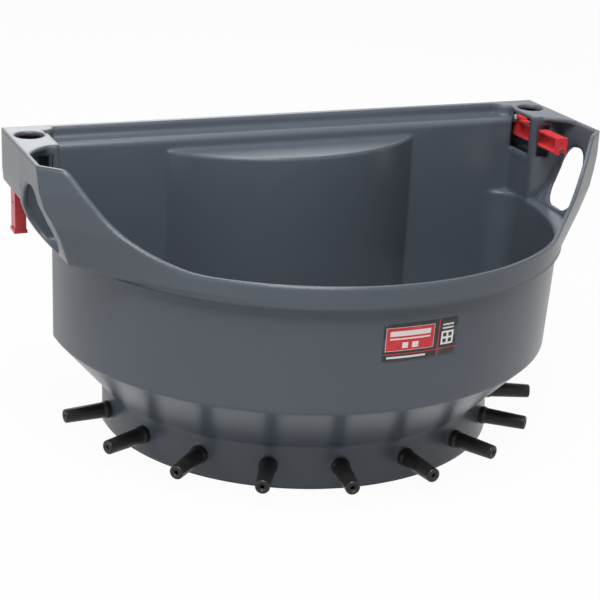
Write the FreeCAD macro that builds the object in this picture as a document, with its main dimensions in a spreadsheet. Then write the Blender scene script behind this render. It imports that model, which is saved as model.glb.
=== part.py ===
import FreeCAD, Part
import math
import os
import Sketcher

# Calf teat feeder: a half-round moulded tub that hangs on a gate, ten rubber teats round
# its foot, and a red latch lever on a bolt under each rear corner.
# Frame: +X to the feeder's right as seen from the calves, +Y to the gate, +Z up.
# The origin is under the middle of the tub's outline, on the plane of its foot.

Vector = FreeCAD.Vector
doc = FreeCAD.newDocument("calf_teat_feeder")

# Driving dimensions in millimetres, degrees or counts.
# A "set back" is measured forward from the gate plane, which is the rearmost face.
# A "drop" is measured down from the top of the ears.
DIMENSIONS = {
    # Overall
    "width": 860,
    "depth": 475,
    "height": 440,
    "wall": 5,
    # Tub below the band: half width and set back of the front at four levels
    "foot_half_width": 301,
    "foot_front": 384,
    "waist_half_width": 302,
    "waist_front": 375,
    "waist_level": 59,
    "shoulder_half_width": 377,
    "shoulder_front": 458,
    "shoulder_level": 147,
    "collar_half_width": 379,
    "collar_front": 468,
    "rear_panel_back": 39,
    "foot_corner": 30,
    "shoulder_corner": 38,
    "collar_corner": 46,
    "floor": 6,
    # Band and ears
    "band_radius": 384,
    "band_bottom_drop": 143,
    "rim_drop": 110,
    "ledge_drop": 134,
    "rim_foot_back": 309,
    "rim_slope": 55.6,
    "rim_sweep_radius": 137,
    "rim_crest_radius": 14,
    # Handle hole in the side of each ear
    "handle_back": 118,
    "handle_front": 206,
    "handle_bottom_drop": 131,
    "handle_top_drop": 37,
    "handle_low_run": 30,
    "handle_rear_rise": 34,
    "handle_front_rise": 29,
    "handle_rear_low_radius": 34,
    "handle_front_low_radius": 32,
    "handle_rear_straight": 47,
    "handle_lean": 22,
    "handle_lean_drop": 11,
    "handle_top_front": 42,
    "handle_top_rear": 32,
    "handle_top_fall": 2,
    "handle_front_top_radius": 18,
    "handle_rear_top_radius": 54,
    # Corner boxes, the channel over the gate rail and the groove above it
    "skin": 5,
    "skirt_drop": 75,
    "box_floor_drop": 70,
    "box_floor_start": 54,
    "box_depth": 104,
    "box_inner": 375,
    "plate": 6,
    "lip_depth": 11,
    "groove_half_length": 378,
    "groove_floor_drop": 16,
    "groove_edge_radius": 7,
    "groove_end_radius": 18,
    "channel_top_drop": 25,
    "window_bottom_drop": 63,
    "window_front": 97,
    "lever_hole_inner": 383.5,
    "lever_hole_width": 21,
    "lever_hole_bottom_drop": 64,
    "lever_hole_top_drop": 14,
    "plate_sweep_start": 387,
    "plate_sweep_back": 146,
    "plate_sweep_radius": 70,
    "hanger_hole": 42,
    "hanger_set_in": 28,
    "hanger_back": 50,
    # Bulge of the rear panel
    "bulge_half_width": 200,
    "bulge_depth": 80,
    "bulge_drop": 36,
    # Teats
    "teat_count": 10,
    "teat_step": 18.95,
    "teat_level": 33,
    "teat_boss": 25,
    "teat_boss_root": 12,
    "teat_boss_rise": 0.4,
    "teat_reach": 68,
    "teat_root": 23.5,
    "teat_tip": 20.5,
    "teat_collar": 26.5,
    "teat_collar_length": 5,
    "teat_collar_flare": 4,
    "teat_neck": 15,
    "teat_flange": 24,
    "teat_flange_thickness": 3,
    "teat_bore": 6,
    "teat_mouth": 11,
    "teat_mouth_depth": 2.5,
    "teat_tip_round": 3,
    "seat_play": 0.2,
    # Levers and their bolts
    "pivot_back": 34,
    "pivot_drop": 19,
    "bolt": 8,
    "bolt_socket": 4,
    "web_boss": 18,
    "web_boss_height": 2.5,
    "web_socket": 3,
    "nut_width": 13,
    "nut_height": 2.9,
    "washer": 16,
    "washer_height": 1.2,
    "sleeve": 12,
    "raised_lever_gap": 0.9,
    "lowered_lever_gap": 1.5,
    "lever_width": 16,
    "lever_height": 25,
    "lever_reach": 129,
    "lever_top_drop": 2,
    "lever_wall": 3,
    "lever_hub": 10,
    "lever_channel": 9,
    "lever_web_hole": 3,
    "lever_root": 8,
    "lever_slant": 6,
    "lever_head_width": 19,
    "lever_head_height": 26,
    "lever_head_thickness": 5,
    "lever_screw": 4,
    "lever_screw_head": 7,
    "lever_screw_head_height": 2,
    "lever_screw_drop": 20,
    "lever_dimple": 2.4,
    "lever_dimple_drop": 8,
    "running_play": 0.3,
}

sheet = doc.addObject("Spreadsheet::Sheet", "Sizes")
for row, (alias, number) in enumerate(DIMENSIONS.items(), start=1):
    sheet.set("A%d" % row, alias)
    sheet.set("B%d" % row, str(number))
    sheet.setAlias("B%d" % row, alias)
doc.recompute()


class Size:
    """A length, kept both as a number and as the sheet expression that gives it."""

    def __init__(self, number, text):
        self.number = number
        self.text = text

    def __add__(self, other):
        other = as_size(other)
        return Size(self.number + other.number, "(%s + %s)" % (self.text, other.text))

    def __sub__(self, other):
        other = as_size(other)
        return Size(self.number - other.number, "(%s - %s)" % (self.text, other.text))

    def __mul__(self, factor):
        factor = as_size(factor)
        return Size(self.number * factor.number, "(%s * %s)" % (self.text, factor.text))

    def __truediv__(self, divisor):
        divisor = as_size(divisor)
        return Size(self.number / divisor.number, "(%s / %s)" % (self.text, divisor.text))

    def __neg__(self):
        return Size(-self.number, "(-1 * %s)" % self.text)


def as_size(value):
    return value if isinstance(value, Size) else Size(value, "%.6g" % value)


def dim(alias):
    return Size(float(sheet.get(alias)), "Sizes.%s" % alias)


def below_top(name):
    """The height of a level that is given as its drop below the ears' top."""
    return dim("height") - dim(name + "_drop")


def back(set_back):
    """The Y of a point that lies set_back in front of the gate plane."""
    return dim("depth") * 0.5 - set_back


HALF_WIDTH = dim("width") * 0.5
WALL = dim("wall")
ZERO = as_size(0)
# How far a cut runs past the face that it opens, and a joined form into its neighbour
PAST = 1
# How far an outline that cuts a whole side off runs past the part
BEYOND = 20


def origin_plane(body, role):
    return next(item for item in body.Origin.OriginFeatures if item.Role == role)


def new_body(name):
    body = doc.addObject("PartDesign::Body", name)
    body.Label = name
    return body


def new_sketch(body, name, role, offset=ZERO):
    sketch = body.newObject("Sketcher::SketchObject", name)
    sketch.AttachmentSupport = (origin_plane(body, role), [""])
    sketch.MapMode = "FlatFace"
    sketch.AttachmentOffset = FreeCAD.Placement(Vector(0, 0, offset.number), FreeCAD.Rotation())
    sketch.setExpression(".AttachmentOffset.Base.z", offset.text)
    return sketch


def bind(sketch, constraint, size):
    index = sketch.addConstraint(constraint)
    sketch.setExpression("Constraints[%d]" % index, size.text)


def fix_point(sketch, geometry, end, point):
    for kind, size in zip(("DistanceX", "DistanceY"), point):
        bind(sketch, Sketcher.Constraint(kind, -1, 1, geometry, end, size.number), size)


def numbers(point):
    return Vector(point[0].number, point[1].number, 0)


def outline(sketch, points, bends=None):
    """A closed outline through points. bends maps the index of a side to (radius, bulge),
    where the side becomes an arc that swells to the right of its way (1) or left (-1)."""
    bends = bends or {}
    count = len(points)
    sides = []
    for index in range(count):
        start = numbers(points[index])
        end = numbers(points[(index + 1) % count])
        if index not in bends:
            sides.append(sketch.addGeometry(Part.LineSegment(start, end)))
            continue
        radius, bulge = bends[index]
        chord = end - start
        right = Vector(chord.y, -chord.x, 0).normalize()
        half = chord.Length / 2
        sag = radius.number - math.sqrt(max(radius.number ** 2 - half ** 2, 0))
        middle = (start + end) * 0.5 + right * (bulge * sag)
        sides.append(sketch.addGeometry(Part.Arc(start, middle, end)))
    for index, side in enumerate(sides):
        arc = index in bends
        reverse = arc and bends[index][1] < 0
        first = 2 if reverse else 1
        fix_point(sketch, side, first, points[index])
        following = (index + 1) % count
        after = 2 if following in bends and bends[following][1] < 0 else 1
        sketch.addConstraint(
            Sketcher.Constraint("Coincident", side, 3 - first, sides[following], after)
        )
        if arc:
            bind(sketch, Sketcher.Constraint("Radius", side, bends[index][0].number), bends[index][0])


def mirrored(points):
    """The same outline on the other side of the middle plane, still in order."""
    return [(-x, y) for x, y in reversed(points)]


def circle(sketch, centre, radius):
    index = sketch.addGeometry(Part.Circle(numbers(centre), Vector(0, 0, 1), radius.number))
    fix_point(sketch, index, 3, centre)
    bind(sketch, Sketcher.Constraint("Radius", index, radius.number), radius)


def pad(body, name, sketch, length, reverse=False, symmetric=False):
    feature = body.newObject("PartDesign::Pad", name)
    feature.Profile = sketch
    feature.Length = length.number
    feature.setExpression("Length", length.text)
    feature.Reversed = reverse
    if symmetric:
        feature.SideType = "Symmetric"
    return feature


def pocket(body, name, sketch, length, reverse=False, symmetric=False):
    """A pocket that must take material away."""
    doc.recompute()
    before = body.Shape.Volume
    feature = body.newObject("PartDesign::Pocket", name)
    feature.Profile = sketch
    feature.Length = length.number
    feature.setExpression("Length", length.text)
    feature.Reversed = reverse
    if symmetric:
        feature.SideType = "Symmetric"
    doc.recompute()
    if body.Shape.Volume >= before:
        raise RuntimeError("%s cuts nothing" % name)
    return feature


def loft(body, kind, name, sketches):
    feature = body.newObject(kind, name)
    feature.Profile = sketches[0]
    feature.Sections = sketches[1:]
    feature.Ruled = True
    return feature


def tub_section(body, name, level, half_width, front, corner_radius, shrink=None):
    """Half-round plan with a straight rear: two quarter arcs, two sides, two rear corners."""
    inset = shrink or ZERO
    radius = half_width - inset
    centre = back(front - half_width)
    rear = back(dim("rear_panel_back") + (dim("plate") if shrink else ZERO))
    corner = corner_radius - inset
    sketch = new_sketch(body, name, "XY_Plane", level)
    points = [
        (-radius, centre),
        (ZERO, centre - radius),
        (radius, centre),
        (radius, rear - corner),
        (radius - corner, rear),
        (corner - radius, rear),
        (-radius, rear - corner),
    ]
    outline(sketch, points, {0: (radius, 1), 1: (radius, 1), 3: (corner, 1), 5: (corner, 1)})
    return sketch


# Outlines of the band and the ears, drawn for a half width of 430 and ears that rise 134
# from the ledge: rise above the ledge (none for the band's lower edge), half width behind,
# then half width and set back of the corner.
EAR_LEVELS = (
    ("low", None, 381, 368, 219),
    ("ledge", 0, 398, 392, 221),
    ("sweep", 16, 410, 397, 223.5),
    ("strap", 34, 420.5, 402.5, 225),
    ("turn", 54, 428, 410.5, 224),
    ("cheek", 77, 430, 422, 214),
    ("upper", 99, 430, 427.5, 210),
    ("top", 134, 430, 430, 206),
)
EAR_HALF_WIDTH = 430
EAR_RISE = 134
CORNER_INSET = math.tan(math.radians(22.5))


def ear_section(body, name, level, rear_half, corner_half, corner_back, inset=None, past=ZERO):
    """Band arc in front, straight cheeks that leave it tangent, then sides to the rear."""
    shrink = inset or ZERO
    radius = dim("band_radius") - shrink
    centre = back(dim("depth") - dim("band_radius"))
    corner = (corner_half - shrink, back(corner_back - shrink * CORNER_INSET))
    side = rear_half - shrink
    box_back = dim("box_depth") + dim("plate")
    sketch = new_sketch(body, name, "XY_Plane", level + past)
    middle = Vector(0, centre.number, 0)
    reach = numbers(corner) - middle
    turn = math.acos(radius.number / reach.Length)
    angle = math.atan2(reach.y, reach.x) - turn
    touch = middle + Vector(math.cos(angle), math.sin(angle), 0) * radius.number
    opposite = Vector(-touch.x, touch.y, 0)
    arc = Part.Arc(opposite, middle + Vector(0, -radius.number, 0), touch)
    front = sketch.addGeometry(arc)
    fix_point(sketch, front, 3, (ZERO, centre))
    bind(sketch, Sketcher.Constraint("Radius", front, radius.number), radius)
    if inset is None:
        half = [(side, back(box_back)), (side, back(ZERO))]
    else:
        inner = dim("box_inner")
        half = [(side, back(box_back)), (inner, back(box_back)),
                (inner, back(dim("rear_panel_back") + dim("plate")))]
    chain = [corner] + half + [(-x, y) for x, y in reversed([corner] + half)]
    cheek = sketch.addGeometry(Part.LineSegment(touch, numbers(corner)))
    sketch.addConstraint(Sketcher.Constraint("Tangent", front, 2, cheek, 1))
    fix_point(sketch, cheek, 2, corner)
    previous = cheek
    for start, end in zip(chain, chain[1:]):
        side_line = sketch.addGeometry(Part.LineSegment(numbers(start), numbers(end)))
        sketch.addConstraint(Sketcher.Constraint("Coincident", previous, 2, side_line, 1))
        fix_point(sketch, side_line, 2, end)
        previous = side_line
    closing = sketch.addGeometry(Part.LineSegment(numbers(chain[-1]), opposite))
    sketch.addConstraint(Sketcher.Constraint("Coincident", previous, 2, closing, 1))
    sketch.addConstraint(Sketcher.Constraint("Tangent", closing, 2, front, 1))
    return sketch


def ear_sections(body, prefix, levels, inset=None):
    sketches = []
    scale = HALF_WIDTH / EAR_HALF_WIDTH
    ledge = below_top("ledge")
    for name, rise, rear_half, corner_half, corner_back in levels:
        height = below_top("band_bottom")
        if rise is not None:
            height = ledge + (dim("height") - ledge) * rise / EAR_RISE
        past = as_size(PAST) if inset and name == "top" else ZERO
        sketches.append(ear_section(
            body, prefix + name, height, scale * rear_half, scale * corner_half,
            as_size(corner_back), inset, past,
        ))
    return sketches


def make_tub():
    body = new_body("tub")
    rings = (
        ("foot", ZERO, "foot_half_width", "foot_front", "foot_corner"),
        ("waist", dim("waist_level"), "waist_half_width", "waist_front", "foot_corner"),
        ("shoulder", dim("shoulder_level"), "shoulder_half_width", "shoulder_front",
         "shoulder_corner"),
        ("collar", below_top("ledge"), "collar_half_width", "collar_front", "collar_corner"),
    )
    outer = [
        tub_section(body, name, level, dim(half), dim(front), dim(corner))
        for name, level, half, front, corner in rings
    ]
    loft(body, "PartDesign::AdditiveLoft", "lower_tub", outer)
    loft(body, "PartDesign::AdditiveLoft", "band_and_ears", ear_sections(body, "ear_", EAR_LEVELS))
    doc.recompute()
    add_teat_bosses(body)
    cut_rim(body)
    cut_behind(body)
    inner = []
    for name, level, half, front, corner in rings:
        inner.append(tub_section(
            body, "inner_" + name, dim("floor") if name == "foot" else level, dim(half), dim(front),
            dim(corner), WALL,
        ))
    loft(body, "PartDesign::SubtractiveLoft", "lower_hollow", inner)
    loft(body, "PartDesign::SubtractiveLoft", "ear_hollow",
         ear_sections(body, "inner_ear_", EAR_LEVELS[1:], WALL))
    doc.recompute()
    cut_channel_and_boxes(body)
    cut_handles(body)
    cut_teat_holes(body)
    add_bulge(body)
    add_bolt_bosses(body)
    return body


def cut_rim(body):
    """Front of the rim: level in front, then a sweep up to the top of each ear."""
    slope = math.radians(sheet.get("rim_slope"))
    rim = below_top("rim")
    top = dim("height")
    foot = dim("rim_foot_back")
    sweep = dim("rim_sweep_radius")
    tangent = sweep * math.tan(slope / 2)
    run = (top - rim) / math.tan(slope)
    sketch = new_sketch(body, "rim_profile", "YZ_Plane")
    arc_start = (back(foot + tangent), rim)
    arc_end = (back(foot - tangent * math.cos(slope)), rim + tangent * math.sin(slope))
    crest = dim("rim_crest_radius")
    crest_tangent = crest * math.tan(slope / 2)
    crest_low = (back(foot - run + crest_tangent * math.cos(slope)),
                 top - crest_tangent * math.sin(slope))
    crest_high = (back(foot - run - crest_tangent), top)
    front = back(dim("depth") + BEYOND)
    above = top + BEYOND
    points = [
        (front, rim), arc_start, arc_end, crest_low, crest_high,
        (crest_high[0], above), (front, above),
    ]
    outline(sketch, points, {1: (sweep, 1), 3: (crest, -1)})
    pocket(body, "rim_cut", sketch, dim("width") + BEYOND, symmetric=True)


def cut_behind(body):
    """Under the rear skirt the tub steps in, so that the skirt can hang over a gate."""
    side = dim("collar_half_width")
    out = HALF_WIDTH + BEYOND
    behind = back(as_size(-BEYOND))
    panel = back(dim("rear_panel_back"))
    front = back(dim("box_depth"))
    sketch = new_sketch(body, "under_skirt", "XY_Plane", below_top("skirt"))
    outline(sketch, [
        (-out, behind), (-out, front), (-side, front), (-side, panel),
        (side, panel), (side, front), (out, front), (out, behind),
    ])
    pocket(body, "under_skirt_cut", sketch, below_top("skirt") - below_top("band_bottom") + BEYOND)


def cut_channel_and_boxes(body):
    skin = dim("skin")
    panel = back(dim("rear_panel_back"))
    inside = HALF_WIDTH - dim("plate")
    plate_under = dim("height") - dim("plate")
    deep = below_top("skirt") - PAST
    channel = new_sketch(body, "rail_channel", "XY_Plane", below_top("channel_top"))
    outline(channel, [
        (-inside, back(skin)), (-inside, panel), (inside, panel), (inside, back(skin)),
    ])
    pocket(body, "rail_channel_cut", channel, below_top("channel_top") - deep)
    box = new_sketch(body, "corner_boxes", "XY_Plane", plate_under)
    inner = dim("box_inner") + dim("plate")
    rectangle = [
        (inner, back(skin)), (inner, back(dim("box_depth"))),
        (inside, back(dim("box_depth"))), (inside, back(skin)),
    ]
    outline(box, rectangle)
    outline(box, mirrored(rectangle))
    pocket(body, "corner_box_cut", box, plate_under - below_top("box_floor"))
    gap = new_sketch(body, "floor_gaps", "XY_Plane", below_top("box_floor") + PAST)
    floor_start = back(dim("box_floor_start"))
    rectangle = [
        (inner, back(skin)), (inner, floor_start), (inside, floor_start), (inside, back(skin)),
    ]
    outline(gap, rectangle)
    outline(gap, mirrored(rectangle))
    pocket(body, "floor_gap_cut", gap, below_top("box_floor") + PAST - deep)
    cut_groove(body)
    window = new_sketch(body, "windows", "XY_Plane", plate_under)
    far = back(dim("window_front"))
    left = dim("box_inner") - PAST
    right = inner + PAST
    opening = [(left, panel), (left, far), (right, far), (right, panel)]
    outline(window, opening)
    outline(window, mirrored(opening))
    pocket(body, "window_cut", window, plate_under - below_top("window_bottom"))
    hole = new_sketch(body, "lever_holes", "XY_Plane", below_top("lever_hole_top"))
    near = back(dim("box_depth") - PAST)
    far = back(dim("box_depth") + dim("plate") + PAST)
    start = dim("lever_hole_inner")
    end = start + dim("lever_hole_width")
    opening = [(start, near), (start, far), (end, far), (end, near)]
    outline(hole, opening)
    outline(hole, mirrored(opening))
    pocket(body, "lever_hole_cut", hole, below_top("lever_hole_top") - below_top("lever_hole_bottom"))
    shelf = new_sketch(body, "plate_fronts", "XY_Plane", dim("height"))
    bulkhead = back(dim("box_depth") + dim("plate") - PAST)
    tip = back(dim("plate_sweep_back"))
    side = HALF_WIDTH - PAST
    sweep = dim("plate_sweep_radius")
    web = [(dim("plate_sweep_start"), bulkhead), (inside, tip), (side, tip), (side, bulkhead)]
    outline(shelf, web, {0: (sweep, -1)})
    outline(shelf, mirrored(web), {2: (sweep, -1)})
    pad(body, "plate_front", shelf, dim("plate"), reverse=True)
    doc.recompute()
    holes = new_sketch(body, "hanger_holes", "XY_Plane", dim("height"))
    for sign in (1, -1):
        centre = ((HALF_WIDTH - dim("hanger_set_in")) * sign, back(dim("hanger_back")))
        circle(holes, centre, dim("hanger_hole") * 0.5)
    pocket(body, "hanger_hole_cut", holes, dim("plate") + PAST)


def cut_groove(body):
    """Behind the rear panel's rounded top edge a groove runs along the rear rail."""
    long = dim("groove_half_length")
    end = dim("groove_end_radius")
    rail = back(dim("lip_depth"))
    face = back(dim("rear_panel_back") + dim("plate"))
    groove = new_sketch(body, "groove", "XY_Plane", dim("height"))
    outline(groove, [
        (end - long, rail), (-long, rail - end), (-long, face - PAST),
        (long, face - PAST), (long, rail - end), (long - end, rail),
    ], {0: (end, -1), 4: (end, -1)})
    pocket(body, "groove_cut", groove, dim("height") - below_top("groove_floor"))
    round_off = dim("groove_edge_radius")
    floor = below_top("groove_floor")
    edge = new_sketch(body, "panel_edge", "YZ_Plane")
    outline(edge, [
        (face + round_off, floor), (face, floor - round_off),
        (face - PAST, floor - round_off), (face - PAST, floor + PAST),
        (face + round_off, floor + PAST),
    ], {0: (round_off, 1)})
    pocket(body, "panel_edge_cut", edge, long * 2, symmetric=True)


def add_bulge(body):
    """Bowed pillar on the rear panel, hollow from behind."""
    half = dim("bulge_half_width")
    depth = dim("bulge_depth")
    number = half.number
    reach = depth.number
    radius = Size((number ** 2 + reach ** 2) / (2 * reach),
                  "((%s ^ 2 + %s ^ 2) / (2 * %s))" % (half.text, depth.text, depth.text))
    face = back(dim("rear_panel_back") + dim("plate") - PAST)
    sketch = new_sketch(body, "bulge", "XY_Plane", below_top("bulge"))
    outline(sketch, [(-half, face), (half, face)], {0: (radius, 1)})
    pad(body, "bulge_pad", sketch, below_top("bulge") - dim("floor") * 0.5, reverse=True)
    doc.recompute()
    hollow = new_sketch(body, "bulge_hollow", "XY_Plane", below_top("bulge") - dim("plate"))
    inner = half - dim("plate") * 2
    rear = back(dim("rear_panel_back") - PAST)
    outline(hollow, [(-inner, rear), (inner, rear)], {0: (radius - dim("plate"), 1)})
    pocket(body, "bulge_hollow_cut", hollow, below_top("bulge"))


def cut_handles(body):
    """Egg-shaped hand hole through the side of each ear."""
    rear = dim("handle_back")
    front = dim("handle_front")
    low = below_top("handle_bottom")
    high = below_top("handle_top")
    sketch = new_sketch(body, "hand_holes", "YZ_Plane")
    run = dim("handle_low_run")
    points = [
        (back(rear), low + dim("handle_rear_rise")),
        (back(rear + run), low),
        (back(front - run), low),
        (back(front), low + dim("handle_front_rise")),
        (back(front - dim("handle_lean")), high - dim("handle_lean_drop")),
        (back(front - dim("handle_top_front")), high),
        (back(rear + dim("handle_top_rear")), high - dim("handle_top_fall")),
        (back(rear), low + dim("handle_rear_straight")),
    ]
    outline(sketch, points, {
        0: (dim("handle_rear_low_radius"), -1),
        2: (dim("handle_front_low_radius"), -1),
        4: (dim("handle_front_top_radius"), -1),
        6: (dim("handle_rear_top_radius"), -1),
    })
    pocket(body, "hand_hole_cut", sketch, dim("width") + BEYOND, symmetric=True)


def turned_sketch(body, name, role, base, axis, angle):
    """A sketch shifted and then turned about one of its own axes, for a pattern's first item."""
    sketch = new_sketch(body, name, role)
    offset = Vector(*(size.number for size in base))
    sketch.AttachmentOffset = FreeCAD.Placement(offset, FreeCAD.Rotation(axis, angle.number))
    for letter, size in zip("xyz", base):
        sketch.setExpression(".AttachmentOffset.Base." + letter, size.text)
    sketch.setExpression(".AttachmentOffset.Rotation.Angle", angle.text)
    return sketch


def polar(body, name, original, ring):
    pattern = body.newObject("PartDesign::PolarPattern", name)
    pattern.Originals = [original]
    pattern.Axis = (ring, ["N_Axis"])
    sweep = dim("teat_step") * (dim("teat_count") - 1)
    pattern.Angle = sweep.number
    pattern.setExpression("Angle", sweep.text)
    pattern.Occurrences = int(sheet.get("teat_count"))
    pattern.setExpression("Occurrences", "Sizes.teat_count")
    body.Tip = pattern


def between(foot, waist, share):
    """A size of the skirt's wall part of the way up from the foot to the waist."""
    return foot + (waist - foot) * share


def teat_ring_back():
    """Set back of the centre of the skirt's front arc at the level of the teats."""
    foot = dim("foot_front") - dim("foot_half_width")
    waist = dim("waist_front") - dim("waist_half_width")
    return between(foot, waist, dim("teat_level") / dim("waist_level"))


def teat_seat():
    """Distance of the teats' seats from the ring's centre: just clear of the wall below them."""
    level = dim("teat_level") - dim("teat_collar") * 0.5
    wall = between(dim("foot_front"), dim("waist_front"), level / dim("waist_level"))
    return wall - teat_ring_back() + dim("teat_boss_rise")


def teat_grip():
    """Length of a teat's neck, from its seat to the flange inside the wall."""
    level = dim("teat_level") + dim("teat_flange") * 0.5 - dim("floor")
    share = level / (dim("waist_level") - dim("floor"))
    wall = between(dim("foot_front"), dim("waist_front"), share) - WALL
    return teat_seat() + teat_ring_back() - wall + dim("seat_play") * 2


def first_teat_angle():
    return dim("teat_step") * (dim("teat_count") - 1) * -0.5


def teat_ring(body, name):
    """A circle round the teats' common axis, which the patterns turn about."""
    centre = back(teat_ring_back())
    ring = turned_sketch(body, name, "XY_Plane", (ZERO, centre, ZERO), Vector(0, 0, 1), ZERO)
    circle(ring, (ZERO, ZERO), dim("foot_half_width"))
    return ring


def add_teat_bosses(body):
    """A round boss with a flat face behind each teat's collar."""
    start = first_teat_angle()
    seat = teat_seat()
    across = Size(math.sin(math.radians(start.number)), "sin(%s)" % start.text)
    ahead = Size(math.cos(math.radians(start.number)), "cos(%s)" % start.text)
    base = (seat * across, ZERO, seat * ahead - back(teat_ring_back()))
    boss = turned_sketch(body, "teat_boss", "XZ_Plane", base, Vector(0, 1, 0), start)
    circle(boss, (ZERO, dim("teat_level")), dim("teat_boss") * 0.5)
    raised = pad(body, "teat_boss_pad", boss, dim("teat_boss_root"), reverse=True)
    polar(body, "teat_bosses", raised, teat_ring(body, "boss_ring"))


def cut_teat_holes(body):
    """A radial hole through the skirt and the boss for each teat."""
    centre = back(teat_ring_back())
    start = first_teat_angle()
    hole = turned_sketch(body, "teat_hole", "XZ_Plane", (ZERO, ZERO, -centre), Vector(0, 1, 0), start)
    circle(hole, (ZERO, dim("teat_level")), dim("teat_neck") * 0.5 + dim("seat_play"))
    cut = pocket(body, "teat_hole_cut", hole, teat_seat() + PAST, reverse=True)
    polar(body, "teat_holes", cut, teat_ring(body, "hole_ring"))


def add_bolt_bosses(body):
    """Sockets for the two pivot bolts: a boss on each outer web, a blind hole in each inner wall."""
    pivot = (back(dim("pivot_back")), dim("height") - dim("pivot_drop"))
    inside = HALF_WIDTH - dim("plate")
    for side, sign in (("left", -1), ("right", 1)):
        face = inside * sign
        boss = new_sketch(body, side + "_boss", "YZ_Plane", face)
        circle(boss, pivot, dim("web_boss") * 0.5)
        pad(body, side + "_boss_pad", boss, dim("web_boss_height"), reverse=sign > 0)
        inner = (dim("box_inner") + dim("plate") - dim("bolt_socket")) * sign
        span = inside + dim("web_socket") - inner * sign
        socket = new_sketch(body, side + "_socket", "YZ_Plane", inner)
        circle(socket, pivot, dim("bolt") * 0.5)
        pocket(body, side + "_socket_cut", socket, span, reverse=sign > 0)


def make_teat(index):
    """Rubber teat: a flange inside the wall, a neck through it, a collar and a tapered nipple."""
    body = new_body("teat_%02d" % (index + 1))
    play = dim("seat_play")
    bore = dim("teat_bore") * 0.5
    neck = dim("teat_neck") * 0.5
    flange = dim("teat_flange") * 0.5
    collar = dim("teat_collar") * 0.5
    root = dim("teat_root") * 0.5
    tip = dim("teat_tip") * 0.5
    mouth = dim("teat_mouth") * 0.5
    reach = dim("teat_reach")
    tip_round = dim("teat_tip_round")
    deep = reach - dim("teat_mouth_depth")
    sketch = new_sketch(body, body.Name + "_profile", "XY_Plane")
    inside = -teat_grip()
    points = [
        (inside - dim("teat_flange_thickness"), bore),
        (inside - dim("teat_flange_thickness"), flange),
        (inside, flange),
        (inside, neck),
        (play, neck),
        (play, collar),
        (dim("teat_collar_length"), collar),
        (dim("teat_collar_length") + dim("teat_collar_flare"), root),
        (reach - tip_round, tip),
        (reach, tip - tip_round),
        (reach, mouth),
        (deep, bore),
    ]
    outline(sketch, points, {8: (tip_round, -1)})
    turn = body.newObject("PartDesign::Revolution", body.Name + "_turn")
    turn.Profile = sketch
    turn.ReferenceAxis = (sketch, ["H_Axis"])
    turn.Angle = 360
    count = sheet.get("teat_count")
    heading = -90 + sheet.get("teat_step") * (index - (count - 1) / 2)
    aim = FreeCAD.Rotation(Vector(0, 0, 1), heading)
    centre = Vector(0, back(teat_ring_back()).number, sheet.get("teat_level"))
    seat = aim.multVec(Vector(teat_seat().number, 0, 0))
    body.Placement = FreeCAD.Placement(centre + seat, aim)
    return body


def pivot_point():
    return back(dim("pivot_back")), dim("height") - dim("pivot_drop")


def turned_part(name, radius, start, length, bore=None, sign=1):
    """A round piece along X on the pivot line, from start outwards."""
    body = new_body(name)
    sketch = new_sketch(body, name + "_round", "YZ_Plane", start * sign)
    circle(sketch, pivot_point(), radius)
    if bore:
        circle(sketch, pivot_point(), bore)
    pad(body, name + "_pad", sketch, length, reverse=sign < 0)
    return body


def make_nut(name, start, sign):
    """Thin hexagon nut on the inner end of a bolt."""
    body = new_body(name)
    sketch = new_sketch(body, name + "_hexagon", "YZ_Plane", start * sign)
    y, z = pivot_point()
    corner = dim("nut_width") * (1 / math.sqrt(3))
    points = []
    for step in range(6):
        angle = math.radians(60 * step)
        points.append((y + corner * math.cos(angle), z + corner * math.sin(angle)))
    outline(sketch, points)
    circle(sketch, (y, z), dim("bolt") * 0.5)
    pad(body, name + "_pad", sketch, dim("nut_height"), reverse=sign < 0)
    return body


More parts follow.
